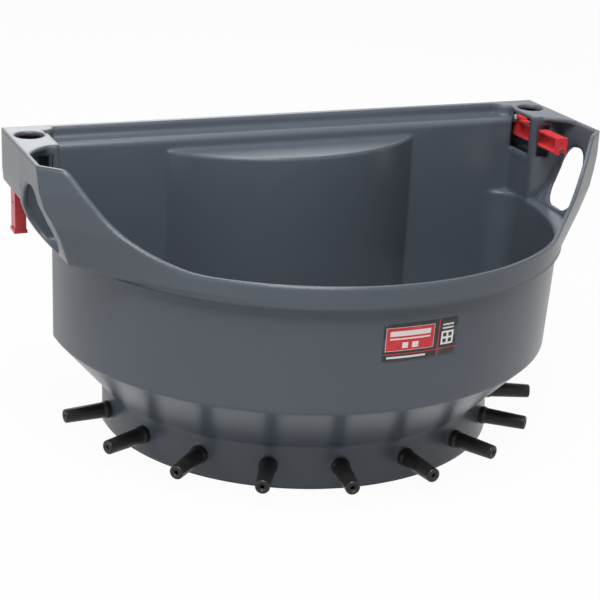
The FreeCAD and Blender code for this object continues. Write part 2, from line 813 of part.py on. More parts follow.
def make_lever(side, sign, inner, hanging):
    """Moulded channel, open inboard, with a hub at one end and a square head at the other."""
    name = side + "_latch_lever"
    body = new_body(name)
    width = dim("lever_width")
    top = -dim("lever_top_drop")
    bottom = top - dim("lever_height")
    root = dim("lever_root")
    reach = dim("lever_reach")
    head = dim("lever_head_thickness")
    wall = dim("lever_wall")
    outward = sign < 0

    def sketch_at(part, x):
        return new_sketch(body, "%s_%s" % (name, part), "YZ_Plane", x * sign)

    beam = sketch_at("beam", ZERO)
    slant = dim("lever_slant")
    outline(beam, [
        (root, top), (head - reach, top), (head - reach, bottom),
        (root - slant, bottom), (root, bottom + slant),
    ])
    pad(body, name + "_beam_pad", beam, width, reverse=outward)
    hub = sketch_at("hub", ZERO)
    circle(hub, (ZERO, ZERO), dim("lever_hub"))
    pad(body, name + "_hub_pad", hub, width, reverse=outward)
    head_start = (width - dim("lever_head_width")) * 0.5
    plate = sketch_at("head", head_start)
    head_top = top + (dim("lever_head_height") - dim("lever_height")) * 0.5
    head_low = head_top - dim("lever_head_height")
    outline(plate, [
        (head - reach, head_top), (-reach, head_top), (-reach, head_low), (head - reach, head_low),
    ])
    pad(body, name + "_head_pad", plate, dim("lever_head_width"), reverse=outward)
    channel = sketch_at("channel", ZERO)
    near = -dim("lever_hub") - wall
    far = head - reach
    outline(channel, [
        (near, top - wall), (far, top - wall), (far, bottom + wall), (near, bottom + wall),
    ])
    pocket(body, name + "_channel_cut", channel, dim("lever_channel"), reverse=sign > 0)
    holes = sketch_at("web_holes", dim("lever_channel") - PAST)
    hole = dim("lever_web_hole")
    middle_level = (top + bottom) * 0.5
    for start in (far, (near + far * 2) / 3):
        outline(holes, [
            (start + hole, middle_level + hole), (start, middle_level + hole),
            (start, middle_level - hole), (start + hole, middle_level - hole),
        ])
    pocket(body, name + "_web_hole_cut", holes, width, reverse=sign > 0)
    bore = sketch_at("bore", as_size(-PAST))
    circle(bore, (ZERO, ZERO), dim("sleeve") * 0.5 + dim("running_play"))
    pocket(body, name + "_bore_cut", bore, width + 2 * PAST, reverse=sign > 0)
    face = new_sketch(body, name + "_head_holes", "XZ_Plane", reach)
    middle = width * 0.5 * sign
    circle(face, (middle, head_top - dim("lever_screw_drop")), dim("lever_screw") * 0.5)
    circle(face, (middle, head_top - dim("lever_dimple_drop")), dim("lever_dimple") * 0.5)
    pocket(body, name + "_head_cut", face, head - PAST)
    place_on_pivot(body, sign, inner, hanging)
    return body


def place_on_pivot(body, sign, inner, hanging):
    y, z = pivot_point()
    turn = FreeCAD.Rotation(Vector(1, 0, 0), 90 if hanging else 0)
    body.Placement = FreeCAD.Placement(Vector(sign * inner.number, y.number, z.number), turn)


def make_lever_screw(side, sign, inner, hanging):
    """Pan-head screw in the lever's head."""
    name = side + "_lever_screw"
    body = new_body(name)
    reach = dim("lever_reach")
    top = -dim("lever_top_drop") + (dim("lever_head_height") - dim("lever_height")) * 0.5
    centre = (dim("lever_width") * 0.5 * sign, top - dim("lever_screw_drop"))
    shank = new_sketch(body, name + "_shank", "XZ_Plane", reach)
    circle(shank, centre, dim("lever_screw") * 0.5)
    pad(body, name + "_shank_pad", shank, dim("lever_head_thickness") - PAST, reverse=True)
    cap = new_sketch(body, name + "_cap", "XZ_Plane", reach)
    circle(cap, centre, dim("lever_screw_head") * 0.5)
    pad(body, name + "_cap_pad", cap, dim("lever_screw_head_height"))
    place_on_pivot(body, sign, inner, hanging)
    return body


def make_corner(side, sign, lowered):
    """Bolt, nut, washer, sleeve, lever and lever screw of one rear corner.

    A raised lever rests beside the washer, a lowered one beside the boss of the outer wall.
    """
    inner_wall = dim("box_inner") + dim("plate")
    inside = HALF_WIDTH - dim("plate")
    play = dim("running_play")
    bolt_start = inner_wall - dim("bolt_socket")
    bolt_length = inside + dim("web_socket") - bolt_start
    turned_part(side + "_pivot_bolt", dim("bolt") * 0.5, bolt_start, bolt_length, sign=sign)
    make_nut(side + "_pivot_nut", inner_wall, sign)
    washer_start = inner_wall + dim("nut_height")
    turned_part(side + "_pivot_washer", dim("washer") * 0.5, washer_start, dim("washer_height"),
                dim("bolt") * 0.5, sign)
    if lowered:
        inner = inside - dim("web_boss_height") - dim("lowered_lever_gap") - dim("lever_width")
    else:
        inner = washer_start + dim("washer_height") + dim("raised_lever_gap")
    turned_part(side + "_pivot_sleeve", dim("sleeve") * 0.5, inner, dim("lever_width"),
                dim("bolt") * 0.5 + play, sign)
    make_lever(side, sign, inner, lowered)
    make_lever_screw(side, sign, inner, lowered)


def build():
    make_tub()
    for index in range(int(sheet.get("teat_count"))):
        make_teat(index)
    make_corner("left", -1, True)
    make_corner("right", 1, False)
    doc.recompute()
    for item in doc.Objects:
        if "Invalid" in item.State or "Error" in item.State:
            raise RuntimeError("%s failed: %s" % (item.Name, item.State))
    os.makedirs("parts", exist_ok=True)
    bodies = [item for item in doc.Objects if item.TypeId == "PartDesign::Body"]
    for body in bodies:
        if body.Shape.isNull() or not body.Shape.isValid():
            raise RuntimeError("%s has no valid shape" % body.Label)
    for body in bodies:
        body.Shape.exportStep("parts/%s.step" % body.Label)
        print(body.Label, len(body.Shape.Solids), round(body.Shape.Volume))


if __name__ == "__main__":
    build()
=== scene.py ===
import math

import bmesh
import bpy
from mathutils import Matrix, Vector
from mathutils.bvhtree import BVHTree


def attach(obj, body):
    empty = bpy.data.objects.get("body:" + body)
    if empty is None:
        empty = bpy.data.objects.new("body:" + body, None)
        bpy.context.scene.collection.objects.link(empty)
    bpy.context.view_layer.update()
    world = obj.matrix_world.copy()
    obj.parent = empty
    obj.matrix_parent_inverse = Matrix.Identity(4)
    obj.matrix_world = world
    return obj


# A calf teat feeder: a half-round moulded tub that hangs on a gate, ten rubber teats round
# its foot and a red latch lever on a bolt under each rear corner. Lengths are in metres.

bl_info = {
    "name": "Calf Teat Feeder",
    "version": (1, 0, 0),
    "blender": (4, 5, 0),
    "location": "3D View > Sidebar > Feeder",
    "description": "Finishes, label and studio of a gate-mounted calf teat feeder",
    "category": "Object",
}

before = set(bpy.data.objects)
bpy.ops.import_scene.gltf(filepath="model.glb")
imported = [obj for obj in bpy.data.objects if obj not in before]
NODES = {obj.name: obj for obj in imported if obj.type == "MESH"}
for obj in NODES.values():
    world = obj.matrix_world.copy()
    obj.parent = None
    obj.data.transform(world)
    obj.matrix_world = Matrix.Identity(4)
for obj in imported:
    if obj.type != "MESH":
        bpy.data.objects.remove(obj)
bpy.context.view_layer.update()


# Settings that a user would change

class PlasticSettings(bpy.types.PropertyGroup):
    """The grey polyethylene of the tub."""

    colour: bpy.props.FloatVectorProperty(
        name="Grey", description="Colour of the moulded wall", subtype="COLOR",
        size=3, default=(0.064, 0.076, 0.095), min=0.0, max=1.0)
    flow_colour: bpy.props.FloatVectorProperty(
        name="Flow grey", description="Lighter grey where the powder melted unevenly",
        subtype="COLOR", size=3, default=(0.069, 0.081, 0.100), min=0.0, max=1.0)
    gloss: bpy.props.FloatProperty(
        name="Roughness", description="Mean roughness of the moulded skin",
        default=0.30, min=0.05, max=1.0)
    grain: bpy.props.FloatProperty(
        name="Grain height", description="Height of the moulded skin's ripples",
        default=0.00005, min=0.0, unit="LENGTH")
    edge: bpy.props.FloatProperty(
        name="Edge radius", description="Radius of the moulded edges and corners",
        default=0.009, min=0.0, unit="LENGTH")
    web_centre: bpy.props.FloatVectorProperty(
        name="Web", description="Middle of the web that closes the right corner box's floor",
        subtype="TRANSLATION", size=3, default=(0.403, 0.208, 0.3678))
    web_thickness: bpy.props.FloatProperty(
        name="Web thickness", description="Thickness of that web", default=0.003,
        min=0.0005, unit="LENGTH")


class RubberSettings(bpy.types.PropertyGroup):
    """The black rubber of the teats and the rings in their mouths."""

    colour: bpy.props.FloatVectorProperty(
        name="Rubber black", description="Colour of the teats", subtype="COLOR",
        size=3, default=(0.009, 0.009, 0.009), min=0.0, max=1.0)
    bloom_colour: bpy.props.FloatVectorProperty(
        name="Bloom", description="Grey bloom on the rubber", subtype="COLOR",
        size=3, default=(0.022, 0.022, 0.021), min=0.0, max=1.0)
    # The palest grey of the mouth rings is a painted highlight at the teats' tips
    mouth_highlight_colour: bpy.props.FloatVectorProperty(
        name="Mouth", description="Palest grey of the rings in the mouths", subtype="COLOR",
        size=3, default=(0.035, 0.035, 0.034), min=0.0, max=1.0)
    gloss: bpy.props.FloatProperty(
        name="Roughness", description="Mean roughness of the rubber",
        default=0.42, min=0.05, max=1.0)
    count: bpy.props.IntProperty(name="Teats", description="Number of teats", default=10, min=1)
    step: bpy.props.FloatProperty(
        name="Step", description="Turn from one teat to the next",
        default=math.radians(18.95), subtype="ANGLE")
    centre: bpy.props.FloatVectorProperty(
        name="Ring centre", description="Centre of the ring of teats", subtype="TRANSLATION",
        size=3, default=(0.0, 0.16009, 0.033))
    tip: bpy.props.FloatProperty(
        name="Tip distance", description="Distance of the teats' tips from the ring's centre",
        default=0.37198, min=0.01, unit="LENGTH")
    lip: bpy.props.FloatProperty(
        name="Lip radius", description="Radius of the moulded ring in a teat's mouth",
        default=0.0041, min=0.001, unit="LENGTH")
    lip_depth: bpy.props.FloatProperty(
        name="Lip depth", description="Depth of that ring in the mouth",
        default=0.0012, min=0.0, unit="LENGTH")
    lip_thickness: bpy.props.FloatProperty(
        name="Lip thickness", description="Radius of the ring's own section",
        default=0.0006, min=0.0001, unit="LENGTH")


class LeverSettings(bpy.types.PropertyGroup):
    """The red plastic of the levers and the steel on them."""

    colour: bpy.props.FloatVectorProperty(
        name="Lever red", description="Colour of the latch levers", subtype="COLOR",
        size=3, default=(0.60, 0.042, 0.052), min=0.0, max=1.0)
    worn_colour: bpy.props.FloatVectorProperty(
        name="Worn red", description="Paler red where the levers are handled", subtype="COLOR",
        size=3, default=(0.68, 0.080, 0.094), min=0.0, max=1.0)
    sleeve_colour: bpy.props.FloatVectorProperty(
        name="Sleeve red", description="Colour of the sleeves on the bolts", subtype="COLOR",
        size=3, default=(0.30, 0.02, 0.03), min=0.0, max=1.0)
    zinc_colour: bpy.props.FloatVectorProperty(
        name="Zinc", description="Colour of the plated bolts, nuts and screws",
        subtype="COLOR", size=3, default=(0.62, 0.63, 0.65), min=0.0, max=1.0)


class LabelSettings(bpy.types.PropertyGroup):
    """The plain plate on the front of the tub."""

    turn: bpy.props.FloatProperty(
        name="Heading", description="Turn of the plate's middle from the front, to the right",
        default=math.radians(2.17), subtype="ANGLE")
    arc: bpy.props.FloatProperty(
        name="Width", description="Width of the plate along the wall",
        default=0.110, min=0.01, unit="LENGTH")
    low: bpy.props.FloatProperty(
        name="Lower edge", description="Height of the lower edge", default=0.2212, unit="LENGTH")
    high: bpy.props.FloatProperty(
        name="Upper edge", description="Height of the upper edge", default=0.2738, unit="LENGTH")
    proud: bpy.props.FloatProperty(
        name="Thickness", description="How far the plate stands off the wall",
        default=0.0006, min=0.0001, unit="LENGTH")


class StageSettings(bpy.types.PropertyGroup):
    """The camera, the floor and the lamps."""

    eye: bpy.props.FloatVectorProperty(
        name="Eye", description="Place of the camera", subtype="TRANSLATION",
        size=3, default=(-0.88006, -1.86592, 0.98397))
    yaw: bpy.props.FloatProperty(
        name="Yaw", description="Turn of the view from the gate to the right",
        default=math.radians(23.67), subtype="ANGLE")
    pitch: bpy.props.FloatProperty(
        name="Pitch", description="How far the view looks down",
        default=math.radians(20.33), subtype="ANGLE")
    roll: bpy.props.FloatProperty(
        name="Roll", description="Tilt of the picture",
        default=math.radians(2.81), subtype="ANGLE")
    focal: bpy.props.FloatProperty(
        name="Focal length", description="Focal length in pixels of the photograph",
        default=1536.35, min=1.0)
    floor_colour: bpy.props.FloatVectorProperty(
        name="Floor", description="Colour of the floor", subtype="COLOR",
        size=3, default=(0.48, 0.48, 0.48), min=0.0, max=1.0)
    sky: bpy.props.FloatProperty(
        name="Sky", description="Strength of the even light from all round",
        default=0.30, min=0.0)
    key: bpy.props.FloatProperty(
        name="Key lamp", description="Power of the large lamp over the feeder",
        default=96.0, min=0.0, unit="POWER")
    fill: bpy.props.FloatProperty(
        name="Side lamp", description="Power of the lamp on the left",
        default=14.0, min=0.0, unit="POWER")
    rear: bpy.props.FloatProperty(
        name="Rear lamp", description="Power of the lamp behind the feeder",
        default=20.0, min=0.0, unit="POWER")


class FeederSettings(bpy.types.PropertyGroup):
    """All settings of the feeder."""

    plastic: bpy.props.PointerProperty(
        type=PlasticSettings, name="Plastic", description="Tub plastic")
    rubber: bpy.props.PointerProperty(
        type=RubberSettings, name="Rubber", description="Teat rubber")
    lever: bpy.props.PointerProperty(
        type=LeverSettings, name="Levers", description="Levers and steel")
    label: bpy.props.PointerProperty(
        type=LabelSettings, name="Label", description="Front plate")
    stage: bpy.props.PointerProperty(
        type=StageSettings, name="Stage", description="Camera and light")


# Node trees written as Python expressions

class Wire:
    """An output socket that takes part in Python arithmetic by adding Math nodes."""

    def __init__(self, bench, socket):
        self.bench = bench
        self.socket = socket

    def math(self, operation, *values):
        inputs = dict(enumerate((self,) + values))
        return self.bench.node("ShaderNodeMath", {"operation": operation}, inputs)

    def __add__(self, other):
        return self.math("ADD", other)

    def __sub__(self, other):
        return self.math("SUBTRACT", other)

    def __mul__(self, other):
        return self.math("MULTIPLY", other)

    def __rsub__(self, other):
        inputs = {0: other, 1: self}
        return self.bench.node("ShaderNodeMath", {"operation": "SUBTRACT"}, inputs)

    __radd__ = __add__
    __rmul__ = __mul__

    def ramp(self, low, high, start=0.0, end=1.0):
        """A smooth step from start at low to end at high."""
        inputs = {"Value": self, "From Min": low, "From Max": high, "To Min": start, "To Max": end}
        return self.bench.node("ShaderNodeMapRange", {"interpolation_type": "SMOOTHSTEP"}, inputs)

    def inside(self, low, high, soft):
        """1 between low and high, falling to 0 over soft on both sides."""
        return self.ramp(low - soft, low) * self.ramp(high, high + soft, 1.0, 0.0)


class Bench:
    """A node tree being made, with one method that adds any node."""

    def __init__(self, tree):
        self.tree = tree

    def node(self, kind, settings=None, inputs=None, output=0):
        made = self.tree.nodes.new(kind)
        for name, value in (settings or {}).items():
            setattr(made, name, value)
        for key, value in (inputs or {}).items():
            socket = made.inputs[key]
            if isinstance(value, Wire):
                self.tree.links.new(value.socket, socket)
            else:
                socket.default_value = value
        return Wire(self, made.outputs[output])


# Sockets of a Mix node that blends colours
MIX_AMOUNT, MIX_FIRST, MIX_SECOND, MIX_RESULT = 0, 6, 7, 2
BEVEL_SAMPLES = 6
NO_STRETCH = (1.0, 1.0, 1.0)


class Finish(Bench):
    """A material being made."""

    def __init__(self, name, **shader):
        self.material = bpy.data.materials.new(name)
        self.material.use_nodes = True
        super().__init__(self.material.node_tree)
        self.shader = self.tree.nodes["Principled BSDF"]
        for socket, value in shader.items():
            self.feed(socket.title(), value)

    def feed(self, socket, value):
        """Links a wire to the shader's socket, or sets the socket to a number."""
        if isinstance(value, Wire):
            self.tree.links.new(value.socket, self.shader.inputs[socket])
        else:
            self.shader.inputs[socket].default_value = value

    def noise(self, size, detail=2.0, roughness=0.5, stretch=NO_STRETCH):
        """Noise between about 0 and 1 with clouds of the given size."""
        place = self.node("ShaderNodeTexCoord", output="Object")
        spread = self.node("ShaderNodeMapping", inputs={"Vector": place, "Scale": stretch})
        inputs = {
            "Vector": spread, "Scale": 1.0 / size, "Detail": detail, "Roughness": roughness}
        return self.node("ShaderNodeTexNoise", inputs=inputs)

    def blend(self, amount, first, second):
        """The colour first where amount is 0 and second where it is 1."""
        first = first if isinstance(first, Wire) else (*first, 1.0)
        second = second if isinstance(second, Wire) else (*second, 1.0)
        inputs = {MIX_AMOUNT: amount, MIX_FIRST: first, MIX_SECOND: second}
        return self.node("ShaderNodeMix", {"data_type": "RGBA"}, inputs, MIX_RESULT)

    def bump(self, height, edge=0.0):
        """Feeds the normal with a height in metres, on edges rounded off by a radius."""
        inputs = {"Distance": 1.0, "Height": height}
        if edge:
            inputs["Normal"] = self.node(
                "ShaderNodeBevel", {"samples": BEVEL_SAMPLES}, {"Radius": edge})
        self.feed("Normal", self.node("ShaderNodeBump", inputs=inputs))


# Finishes of the pieces

FLOW_SIZE = 0.12
FLOW_ROUGH = 0.04
RIPPLE_SIZE = 0.008
TUB_SHINE = 0.4

BLOOM_SIZE = 0.014
BLOOM_SHARE = 0.6
BLOOM_ROUGH = 0.14
BLOOM_SHEEN = 0.04
RUBBER_GRAIN_SIZE = 0.0012
RUBBER_GRAIN = 0.00004
RUBBER_SHINE = 0.35

WEAR_SIZE = 0.022
WEAR_SHARE = 0.6
WEAR_ROUGH = 0.12
LEVER_ROUGHNESS = 0.30
LEVER_GRAIN_SIZE = 0.0009
LEVER_GRAIN = 0.00001
LEVER_EDGE = 0.0006
LEVER_SHINE = 0.35

ZINC_CLOUD_SIZE = 0.004
ZINC_DULL = 0.72
ZINC_CLOUD_ROUGH = 0.14
ZINC_ROUGHNESS = 0.24
ZINC_GRAIN_SIZE = 0.0005
ZINC_GRAIN = 0.00002
ZINC_STRETCH = (4.0, 1.0, 1.0)


def tub_finish(grey):
    """Rotation-moulded polyethylene: satin and even, with faint flow clouds and ripples."""
    finish = Finish("tub_plastic")
    clouds = finish.noise(FLOW_SIZE, detail=9.0, roughness=0.68).ramp(0.25, 0.75)
    finish.feed("Base Color", finish.blend(clouds, grey.colour, grey.flow_colour))
    finish.feed("Roughness", clouds * FLOW_ROUGH + (grey.gloss - FLOW_ROUGH / 2))
    finish.feed("Specular IOR Level", TUB_SHINE)
    finish.bump(finish.noise(RIPPLE_SIZE, detail=1.0) * grey.grain, grey.edge)
    return finish.material


def rubber_finish(rubber):
    """Moulded black rubber with a faint bloom."""
    finish = Finish("teat_rubber")
    bloom = finish.noise(BLOOM_SIZE, detail=3.0, roughness=0.6).ramp(0.45, 0.75)
    finish.feed("Base Color", finish.blend(
        bloom * BLOOM_SHARE, rubber.colour, rubber.bloom_colour))
    finish.feed("Roughness", bloom * BLOOM_ROUGH + (rubber.gloss - BLOOM_SHEEN))
    finish.feed("Specular IOR Level", RUBBER_SHINE)
    finish.bump(finish.noise(RUBBER_GRAIN_SIZE) * RUBBER_GRAIN)
    return finish.material


def lever_finish(name, colour, worn):
    """Injection-moulded plastic, paler where hands rub it."""
    finish = Finish(name)
    wear = finish.noise(WEAR_SIZE, detail=4.0, roughness=0.65).ramp(0.5, 0.72)
    finish.feed("Base Color", finish.blend(wear * WEAR_SHARE, colour, worn))
    finish.feed("Roughness", wear * WEAR_ROUGH + LEVER_ROUGHNESS)
    finish.feed("Specular IOR Level", LEVER_SHINE)
    finish.bump(finish.noise(LEVER_GRAIN_SIZE, detail=1.0) * LEVER_GRAIN, LEVER_EDGE)
    return finish.material


def zinc_finish(zinc):
    """Zinc plate with fine turning marks across the line of the bolts."""
    finish = Finish("fastener_zinc", metallic=1.0)
    clouds = finish.noise(ZINC_CLOUD_SIZE, detail=3.0).ramp(0.35, 0.7)
    dull = tuple(ZINC_DULL * part for part in zinc)
    finish.feed("Base Color", finish.blend(clouds, zinc, dull))
    finish.feed("Roughness", clouds * ZINC_CLOUD_ROUGH + ZINC_ROUGHNESS)
    marks = finish.noise(ZINC_GRAIN_SIZE, detail=1.0, stretch=ZINC_STRETCH)
    finish.bump(marks * ZINC_GRAIN)
    return finish.material


def finish_nodes(names, material):
    for name in names:
        mesh = NODES[name].data
        mesh.materials.clear()
        mesh.materials.append(material)


def nodes_with(ending):
    return [name for name in NODES if name.endswith(ending)]


# Objects and the tub's wall

def add_object(name, data):
    """A new object in the scene, at the origin."""
    item = bpy.data.objects.new(name, data)
    bpy.context.scene.collection.objects.link(item)
    return item


def add_mesh(name, mesh, material):
    """A new object that takes over a bmesh and has one material."""
    data = bpy.data.meshes.new(name)
    mesh.to_mesh(data)
    mesh.free()
    data.materials.append(material)
    return add_object(name, data)


def thicken(piece, thickness, offset):
    """Gives a sheet of faces its thickness, with a modifier that stays."""
    solid = piece.modifiers.new("thickness", "SOLIDIFY")
    solid.thickness = thickness
    solid.offset = offset


def tub_tree():
    tub = NODES["tub"].data
    return BVHTree.FromPolygons([v.co for v in tub.vertices], [p.vertices for p in tub.polygons])


# Rings in the teats' mouths

RING_SIDES = 32
SECTION_SIDES = 10
MOUTH_CLOUD_SIZE = 0.003
MOUTH_CLOUD_ROUGH = 0.1
MOUTH_ROUGHNESS = 0.25
MOUTH_SHINE = 0.4


class Repeat(Bench):
    """A geometry tree being made, whose inputs are sockets of a modifier."""

    def __init__(self, name):
        super().__init__(bpy.data.node_groups.new(name, "GeometryNodeTree"))
        self.tree.interface.new_socket(
            "Geometry", in_out="OUTPUT", socket_type="NodeSocketGeometry")
        self.values = {}
        self.source = self.tree.nodes.new("NodeGroupInput")

    def take(self, name, kind, value):
        """A named input of the tree and the value that the modifier will give it."""
        item = self.tree.interface.new_socket(name, in_out="INPUT", socket_type=kind)
        self.values[item.identifier] = value
        return Wire(self, self.source.outputs[name])

    def finish_with(self, geometry, material):
        """Ends the tree in real geometry with its material."""
        real = self.node("GeometryNodeRealizeInstances", inputs={"Geometry": geometry})
        smooth = self.node("GeometryNodeSetShadeSmooth", inputs={"Geometry": real})
        made = self.node(
            "GeometryNodeSetMaterial", inputs={"Geometry": smooth, "Material": material})
        self.tree.links.new(made.socket, self.tree.nodes.new("NodeGroupOutput").inputs[0])

    def make(self, name):
        """A plain mesh object of what the tree makes."""
        carrier = add_object(name + "_carrier", bpy.data.meshes.new(name + "_carrier"))
        modifier = carrier.modifiers.new("repeat", "NODES")
        modifier.node_group = self.tree
        for identifier, value in self.values.items():
            modifier[identifier] = value
        seen = carrier.evaluated_get(bpy.context.evaluated_depsgraph_get())
        mesh = bpy.data.meshes.new_from_object(seen)
        bpy.data.objects.remove(carrier)
        return add_object(name, mesh)


def make_mouth_rings(rubber):
    """A moulded ring in the mouth of each teat, set round the foot by one rule."""
    rings = Repeat("teat_mouth_rings")
    count = rings.take("Count", "NodeSocketInt", rubber.count)
    step = rings.take("Step", "NodeSocketFloat", rubber.step)
    set_back = rings.take("Centre", "NodeSocketFloat", rubber.centre[1])
    level = rings.take("Level", "NodeSocketFloat", rubber.centre[2])
    reach = rings.take("Reach", "NodeSocketFloat", rubber.tip - rubber.lip_depth)
    radius = rings.take("Radius", "NodeSocketFloat", rubber.lip)
    thickness = rings.take("Thickness", "NodeSocketFloat", rubber.lip_thickness)
    index = rings.node("GeometryNodeInputIndex")
    turn = (index - (count - 1) * 0.5) * step
    place = rings.node("ShaderNodeCombineXYZ", inputs={
        "X": reach * turn.math("SINE"), "Y": set_back - reach * turn.math("COSINE"), "Z": level})
    points = rings.node("GeometryNodePoints", inputs={"Count": count, "Position": place})
    path = rings.node(
        "GeometryNodeCurvePrimitiveCircle", inputs={"Resolution": RING_SIDES, "Radius": radius})
    section = rings.node("GeometryNodeCurvePrimitiveCircle", inputs={
        "Resolution": SECTION_SIDES, "Radius": thickness})
    ring = rings.node("GeometryNodeCurveToMesh", inputs={"Curve": path, "Profile Curve": section})
    aim = rings.node("ShaderNodeCombineXYZ", inputs={"X": math.pi / 2, "Z": turn})
    placed = rings.node("GeometryNodeInstanceOnPoints", inputs={
        "Points": points, "Instance": ring, "Rotation": aim})
    rings.finish_with(placed, mouth_finish(rubber))
    piece = rings.make("teat_mouth_rings")
    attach(piece, "feeder")


def mouth_finish(rubber):
    """The smoother rubber of a teat's mouth, paler grey as a painted highlight."""
    finish = Finish("mouth_rubber")
    mouth_clouds = finish.noise(MOUTH_CLOUD_SIZE)
    # Clouds blend the rings from the bloom grey to the palest grey, a painted highlight
    finish.feed("Base Color", finish.blend(mouth_clouds, rubber.bloom_colour, rubber.mouth_highlight_colour))
    finish.feed("Roughness", mouth_clouds * MOUTH_CLOUD_ROUGH + MOUTH_ROUGHNESS)
    finish.feed("Specular IOR Level", MOUTH_SHINE)
    return finish.material


# Web in the right corner box

WEB_POINTS = 72
# Each ring's share of the way to the walls, and how far it lies below the web's edge
WEB_RINGS = ((1.0, 0.0), (0.93, 0.0), (0.88, 0.0012), (0.60, 0.0018), (0.30, 0.0021))


def wall_spokes(centre):
    """Vectors from the web's middle to the walls of the corner box, all round."""
    tree = tub_tree()
    spokes = []
    for index in range(WEB_POINTS):
        turn = 2 * math.pi * index / WEB_POINTS
        place = tree.ray_cast(centre, Vector((math.cos(turn), math.sin(turn), 0.0)))[0]
        if place is None:
            raise RuntimeError("the web finds no wall")
        spokes.append(place - centre)
    return spokes


def make_box_web(plastic, material):
    """A dished web in the floor of the right corner box, whose outline follows its walls."""
    centre = Vector(plastic.web_centre)
    spokes = wall_spokes(centre)
    mesh = bmesh.new()
    rings = []
    for share, dish in WEB_RINGS:
        low_centre = centre - Vector((0.0, 0.0, dish))
        rings.append([mesh.verts.new(low_centre + spoke * share) for spoke in spokes])
    for outer, inner in zip(rings, rings[1:]):
        for index in range(WEB_POINTS):
            after = (index + 1) % WEB_POINTS
            corners = (outer[index], outer[after], inner[after], inner[index])
            mesh.faces.new(corners).smooth = True
    mesh.faces.new(rings[-1]).smooth = True
    piece = add_mesh("right_box_web", mesh, material)
    thicken(piece, plastic.web_thickness, 0.0)
    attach(piece, "feeder")


# Label

LABEL_COLUMNS = 48
LABEL_ROWS = 20
LABEL_CORNER = 0.002
# The axis of the front wall's arc lies this far behind the origin
LABEL_AXIS = 0.15
# Rays to the wall start this far from that axis
RAY_START = 0.9
# Share of its stand-off that the plate is thick, so that it clears the wall
LABEL_SOLID = 0.9

RED = (0.55, 0.012, 0.022)
INK = (0.010, 0.010, 0.011)
PAPER = (0.78, 0.78, 0.77)

# The print in millimetres from the plate's lower left corner: left, right, lower, upper edge
MILLIMETRES = 1000
PRINT_EDGE = 0.15
FRAME_LINE = (3.0, 73.0, 14.3, 48.0)
PANEL = (3.8, 72.2, 15.1, 47.2)
SQUARE = (84.5, 103.5, 15.5, 34.5)
PALE_MARKS = (
    (9.0, 67.0, 35.5, 42.5),
    (9.0, 67.0, 30.5, 32.5),
    (27.0, 35.0, 18.0, 26.0),
    (41.0, 50.0, 18.0, 26.0),
    (85.5, 102.5, 38.0, 40.2),
    (85.5, 102.5, 43.0, 45.2),
    (6.0, 62.0, 3.8, 6.6),
)
BLOCKS = (
    (87.0, 92.5, 18.0, 23.5),
    (87.0, 92.5, 26.5, 32.0),
    (95.5, 101.0, 18.0, 23.5),
    (95.5, 101.0, 26.5, 32.0),
)
STRIPE = (9.4, 10.4)
DIVIDER = (79.4, 80.6)

FRAME_SHARE = 0.6
MARK_SHARE = 0.85
FADE_SIZE = 0.02
FADE_SHARE = 0.08
FADE_ROUGH = 0.12
PRINT_ROUGHNESS = 0.22
PRINT_GRAIN_SIZE = 0.002
PRINT_GRAIN = 0.00002


class Print(Finish):
    """A printed material that is laid out on the plate's own coordinates."""

    def __init__(self, name, width, height):
        super().__init__(name)
        plate = {0: self.node("ShaderNodeUVMap", {"uv_map": "plate"})}
        across = self.node("ShaderNodeSeparateXYZ", inputs=plate, output="X")
        upward = self.node("ShaderNodeSeparateXYZ", inputs=plate, output="Y")
        self.across = across * (width * MILLIMETRES)
        self.upward = upward * (height * MILLIMETRES)

    def patch(self, left, right, lower, upper):
        """1 on a rectangle of the print."""
        wide = self.across.inside(left, right, PRINT_EDGE)
        return wide * self.upward.inside(lower, upper, PRINT_EDGE)

    def patches(self, edges):
        """1 on any of several rectangles that don't overlap."""
        total = self.patch(*edges[0])
        for item in edges[1:]:
            total = total + self.patch(*item)
        return total


def label_finish(width, height):
    """Printed plate: a red panel with plain bars on black, and a white square of plain blocks."""
    finish = Print("label_print", width, height)
    stripe = finish.upward.inside(*STRIPE, PRINT_EDGE)
    divider = finish.across.inside(*DIVIDER, PRINT_EDGE)
    lined = finish.blend(stripe + divider, INK, RED)
    framed = finish.blend(finish.patch(*FRAME_LINE) * FRAME_SHARE, lined, PAPER)
    filled = finish.blend(finish.patch(*PANEL), framed, RED)
    pale = finish.patch(*SQUARE) + finish.patches(PALE_MARKS) * MARK_SHARE
    marked = finish.blend(pale, filled, PAPER)
    blocked = finish.blend(finish.patches(BLOCKS), marked, INK)
    fade = finish.noise(FADE_SIZE, detail=3.0)
    faded = finish.blend(fade.ramp(0.5, 0.8) * FADE_SHARE, blocked, PAPER)
    finish.feed("Base Color", faded)
    finish.feed("Roughness", fade * FADE_ROUGH + PRINT_ROUGHNESS)
    finish.bump(finish.noise(PRINT_GRAIN_SIZE, detail=1.0) * PRINT_GRAIN)
    return finish.material


def wall_point(tree, turn, level):
    """The tub's outer wall at a heading from the front, with its outward direction."""
    outward = Vector((math.sin(turn), -math.cos(turn), 0.0))
    start = outward * RAY_START + Vector((0.0, LABEL_AXIS, level))
    place, normal, _, _ = tree.ray_cast(start, -outward)
    if place is None:
        raise RuntimeError("the label misses the wall")
    return place, normal


def corner_inset(along, size, radius):
    """How far a plate with rounded corners is cut back at a distance along its side."""
    near = min(along, size - along)
    if near >= radius:
        return 0.0
    return radius - math.sqrt(max(radius ** 2 - (radius - near) ** 2, 0.0))


